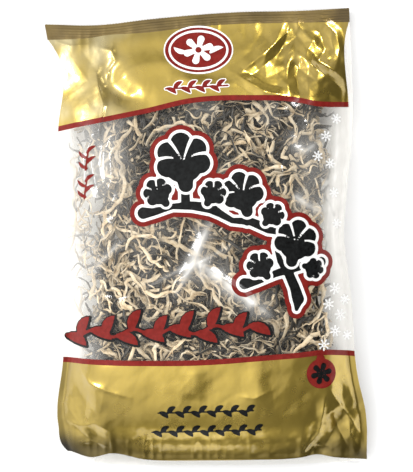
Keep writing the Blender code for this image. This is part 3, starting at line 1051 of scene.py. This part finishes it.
# (width, whether its pale side is up, (x, y) points) of single shreds in the clear margins
STRAYS = [
    (1.6, 1, [(-83, 24), (-80, 14), (-80.5, 6), (-82, -4), (-86, -12)]),
    (1.4, 1, [(-80.5, 6), (-76, 2), (-73, 4)]), (1.2, 1, [(-86, 8), (-82, 6), (-78, 9), (-74, 16)]),
    (1.0, 0, [(-84, -22), (-79, -16), (-74, -20), (-70, -17)]),
    (1.0, 0, [(-80, 62), (-76, 55), (-79, 48), (-75, 42)]),
    (1.2, 1, [(-78, -30), (-82, -38), (-78, -47)]), (1.4, 0, [(70, 66), (75, 60), (73, 53), (77, 48)]),
    (1.2, 0, [(68, 44), (73, 47), (77, 41), (75, 34)]), (1.4, 1, [(66, 24), (71, 31), (76, 38)]),
    (1.2, 0, [(72, 26), (77, 20), (80, 12)]), (1.0, 0, [(71, 4), (75, -4), (73, -12), (77, -18)]),
    (1.2, 1, [(66, -52), (73, -50), (78, -53)]), (1.2, 1, [(67, -60), (73, -63), (77, -60)]),
    (1.0, 0, [(70, 76), (75, 74), (80, 77)]), (1.4, 1, [(-79, 36), (-73, 33), (-68, 37), (-63, 34)]),
    (1.2, 0, [(-76, 26), (-71, 20), (-73, 12)]), (1.2, 1, [(-78, -6), (-72, -9), (-66, -6), (-60, -9)]),
    (1.0, 0, [(-86, -1), (-80, 1), (-76, -3)]), (1.4, 1, [(-80, -12), (-74, -14), (-69, -11)]),
    (1.2, 1, [(-82, -55), (-76, -58), (-70, -55)]),
    (1.2, 0, [(-79, -25), (-73, -28), (-70, -34), (-75, -40)]),
    (1.0, 0, [(-72, 66), (-70, 58), (-74, 50)]), (1.4, 1, [(-74, -62), (-70, -66), (-64, -63)]),
    (1.2, 1, [(-70, 8), (-76, 10), (-79, 18)]),
]


def build_margin_shreds():
    """Shreds that have slipped a little way out of the fill, into the clear margins at both sides."""
    rng = np.random.default_rng(31)
    routes = np.zeros((0, STATIONS, 3))
    while len(routes) < MARGIN_COUNT:
        x, y = rng.uniform(-90, 90, MARGIN_TRIES), rng.uniform(-70, 76, MARGIN_TRIES)
        depth, length = rng.uniform(0.5, 9, MARGIN_TRIES), rng.uniform(8, 30, MARGIN_TRIES)
        tries = ribbon_routes(rng, x, y, depth, length, 0.1)
        u, v = shares(tries[..., 0], tries[..., 1])
        beside = (u > 0.70) & (u < 0.86) | (u < -0.62) & (u > -0.9)
        routes = np.concatenate([routes, tries[(beside & (abs(v) < 0.5)).all(axis=1)]])
    widths = rng.uniform(0.7, 2.0, MARGIN_COUNT)
    ribbon_mesh("shreds_margin", rng, routes[:MARGIN_COUNT], widths, 0.4, 0.7, 0.6, "mixed_shreds")


def between(knots, count):
    """Points at even steps along straight lines through knots, an array with a row for each."""
    at = np.linspace(0, len(knots) - 1, count)
    lines = [np.interp(at, np.arange(len(knots)), line) for line in np.asarray(knots).T]
    return np.stack(lines, axis=1)


def build_strays():
    """Single shreds halfway between the two films, along smoothed routes of their own."""
    rng = np.random.default_rng(23)
    soft = np.ones(5) / 5
    for k, (width, pale_up, points) in enumerate(STRAYS):
        lines = between(points, LOOSE_STATIONS).T
        x, y = (np.convolve(np.pad(line, 2, mode="edge"), soft, mode="valid") for line in lines)
        z = (under_film_z(x, y) + back_z(x, y) + 0.8) / 2
        route = np.stack([x, y, z], axis=1)[None]
        ribbon_mesh(f"stray_shred_{k + 1:02d}", rng, route, np.array([width]), 0.4, 0.9, pale_up,
                    "mixed_shreds")


# The loose shreds as CAD places them.
CAD_FILM_GAP = 0.7     # from the seams' height up to the underside of the front film
SHRED_COUNT = 44
SHRED_STATIONS = 13
SHRED_WIDTH = (2.2, 3.4)
SHRED_LENGTH = (26.0, 62.0)
SHRED_BEND = 0.045
SHRED_SPACING = 4.6
SHRED_DEPTH = 2.3
SHRED_WAVE = 0.7
SHRED_ROLL = math.radians(22)
SHRED_WINDOW = (0.84, -0.62, 0.52)
SHRED_SEED = 11


def smooth_front(x, y):
    """A point on the underside of the front film in CAD, which has no creases, and its normal."""
    def height(x, y):
        u, v = shares(x, y)
        return seam_height(v) + CAD_FILM_GAP + (CROWN - seam_height(v)) * swell(u, v)

    nudge = 0.5
    middle = height(x, y)
    normal = Vector(((middle - height(x + nudge, y)) / nudge, (middle - height(x, y + nudge)) / nudge, 1))
    return Vector((x, y, middle)), normal.normalized()


def on_pouch(u, v):
    """The point (x, y) at shares u across and v along."""
    x = 0.0
    for _ in range(6):
        y = bottom_edge(x) + (v + 1) / 2 * (top_edge(x) - bottom_edge(x))
        x = left_edge(y) + (u + 1) / 2 * (right_edge(y) - left_edge(y))
    return float(x), float(y)


def loose_route(rng):
    """Points down the middle of one loose shred, or None where it would leave the window."""
    wide, low, high = SHRED_WINDOW
    x, y = on_pouch(rng.uniform(-wide, wide), rng.uniform(low, high))
    heading = rng.uniform(0, 2 * math.pi)
    bend = rng.uniform(-SHRED_BEND, SHRED_BEND)
    change = rng.uniform(-SHRED_BEND, SHRED_BEND)
    step = rng.uniform(*SHRED_LENGTH) / (SHRED_STATIONS - 1)
    phase = rng.uniform(0, 2 * math.pi)
    route = []
    for k in range(SHRED_STATIONS):
        u, v = shares(x, y)
        if abs(u) > wide or not low < v < high:
            return None
        point, normal = smooth_front(x, y)
        route.append(point - normal * (SHRED_DEPTH + SHRED_WAVE * math.sin(phase + k)))
        heading += (bend + change * k / (SHRED_STATIONS - 1)) * step
        x += step * math.cos(heading)
        y += step * math.sin(heading)
    return route


def wandering(rng):
    """How far a loose shred strays from side to side of its route, in small bends and kinks."""
    knots = rng.normal(0, 1.0, (SHRED_STATIONS, 2))
    knots[[0, -1]] = 0
    return between(knots, LOOSE_STATIONS)


def build_loose_shreds():
    """Each single shred as a narrower, finer ribbon along the route that it has in CAD."""
    chance = random.Random(SHRED_SEED)
    rng = np.random.default_rng(19)
    taken = []
    while len(taken) < SHRED_COUNT:
        route = loose_route(chance)
        width = chance.uniform(*SHRED_WIDTH)
        # CAD draws each shred's roll here; the ribbon has rolls of its own
        chance.uniform(-SHRED_ROLL, SHRED_ROLL)
        if route is None:
            continue
        if any((p - q).length < SHRED_SPACING for other in taken for p in route for q in other):
            continue
        taken.append(route)
        fine = between([list(point) for point in route], LOOSE_STATIONS)
        fine[:, :2] += wandering(rng)
        number = f"{len(taken):02d}"
        slot = "pale_shred" if len(taken) % 2 else "dark_shred"
        ribbon_mesh("loose_shred_" + number, rng, fine[None], np.array([0.8 * width]), 0.5, 0.55, 0.75,
                    slot, ["shred_" + number])


# ---------- floor, light and camera
# Metres from here on.
VIEW_LENGTH = 0.2926          # how much of the scene the camera sees along the pouch, at its focus
CAMERA_DISTANCE = 1.15
FOCUS = (0.0005, 0.0002, 0.009)
LAMP_TARGET = Vector((0, 0, 0.02))
FLOOR_REACH = 3.0
FLOOR_Z = -0.0006


def build_floor():
    mesh = bpy.data.meshes.new("floor")
    corners = [(FLOOR_REACH * x, FLOOR_REACH * y, 0) for x, y in ((-1, -1), (1, -1), (1, 1), (-1, 1))]
    mesh.from_pydata(corners, [], [(0, 1, 2, 3)])
    mesh.materials.append(floor_material())
    place_in_scene("floor", mesh, (0, 0, FLOOR_Z))


def area_light(name, location, size, power, glossy=True):
    """A lamp that faces the pouch. Without glossy it shows in no gloss."""
    lamp = bpy.data.lights.new(name, "AREA")
    lamp.shape = "RECTANGLE"
    lamp.size, lamp.size_y = size
    lamp.energy = power
    made = place_in_scene(name, lamp, location)
    made.rotation_euler = (LAMP_TARGET - Vector(location)).to_track_quat("-Z", "Y").to_euler()
    made.visible_glossy = glossy


def build_light():
    """A pale studio, brightest at the left, two small lamps for sparkle and two broad ones that fill."""
    world = bpy.data.worlds.new("studio")
    world.use_nodes = True
    tree = world.node_tree
    way = add_node(tree, "TexCoord", {}).outputs["Generated"]
    toward = add_node(tree, "VectorMath", {0: way, 1: (-0.70, 0.08, 0.71)},
                      operation="DOT_PRODUCT").outputs["Value"]
    share = add_node(tree, "MapRange", {"Value": toward, "From Min": -0.4}).outputs[0]
    greys = ((0.0, 0.05), (0.40, 0.14), (0.62, 0.66), (0.80, 0.88), (1.0, 1.5))
    sky = ramp(tree, share, [(position, (grey, grey, grey)) for position, grey in greys])
    tree.links.new(sky, tree.nodes["Background"].inputs["Color"])
    tree.nodes["Background"].inputs["Strength"].default_value = 1.0
    bpy.context.scene.world = world

    area_light("key_upper_left", (-1.02, 0.46, 0.84), (0.28, 0.28), 8.5)
    area_light("spark_upper_right", (0.61, 0.88, 0.80), (0.22, 0.22), 6)
    area_light("fill_right", (0.9, -0.4, 0.8), (0.5, 0.9), 7.0, glossy=False)
    area_light("fill_left", (-0.95, -0.35, 0.6), (0.5, 0.9), 5.0, glossy=False)


def build_camera():
    """It looks straight down on the printed face."""
    camera = bpy.data.cameras.new("camera")
    camera.sensor_fit = "VERTICAL"
    camera.sensor_height = 24
    camera.lens = camera.sensor_height * CAMERA_DISTANCE / VIEW_LENGTH
    x, y, z = FOCUS
    bpy.context.scene.camera = place_in_scene("camera", camera, (x, y, z + CAMERA_DISTANCE))
    bpy.context.scene.view_settings.view_transform = "Standard"


for build in (build_films, build_motif, build_vine, build_sprigs, build_medallion, build_leaf_line,
              build_garlands, build_badge, build_small_flowers, build_shreds, build_margin_shreds,
              build_strays, build_loose_shreds, build_floor, build_light, build_camera):
    build()
